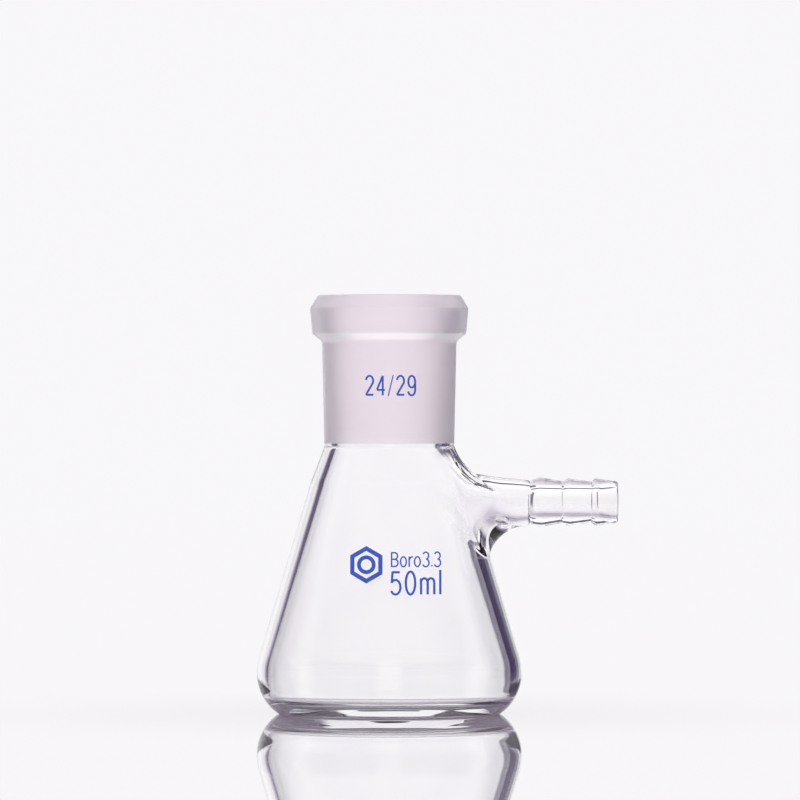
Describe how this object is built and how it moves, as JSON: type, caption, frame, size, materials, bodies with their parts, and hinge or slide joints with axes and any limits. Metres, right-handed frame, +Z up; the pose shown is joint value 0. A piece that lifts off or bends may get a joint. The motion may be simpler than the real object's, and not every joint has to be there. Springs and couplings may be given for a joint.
{
  "type": "buchner flask",
  "caption": "Small conical filter flask of thick clear glass, with a ground-joint socket on top and a glass hose connection at the side for vacuum filtration.",
  "frame": {"origin": "on the flask's axis, in the plane of the bench it stands on", "axes": "+Z up along the flask's axis, +X along the side arm towards its mouth, prints facing -Y"},
  "size_m": [0.0708, 0.052, 0.082],
  "materials": {
    "clear_glass": "clear, flame-polished borosilicate glass",
    "ground_glass": "finely ground matt taper; the print sits on its outside",
    "blue_enamel": "thin fired enamel print"
  },
  "bodies": {
    "root": {"flask_body": "clear_glass", "side_arm": "clear_glass", "hose_barb": "clear_glass", "joint_socket": "ground_glass", "joint_size_mark": "blue_enamel", "glass_type_mark": "blue_enamel", "capacity_mark": "blue_enamel", "emblem_mark": "blue_enamel"}
  },
  "joints": []
}
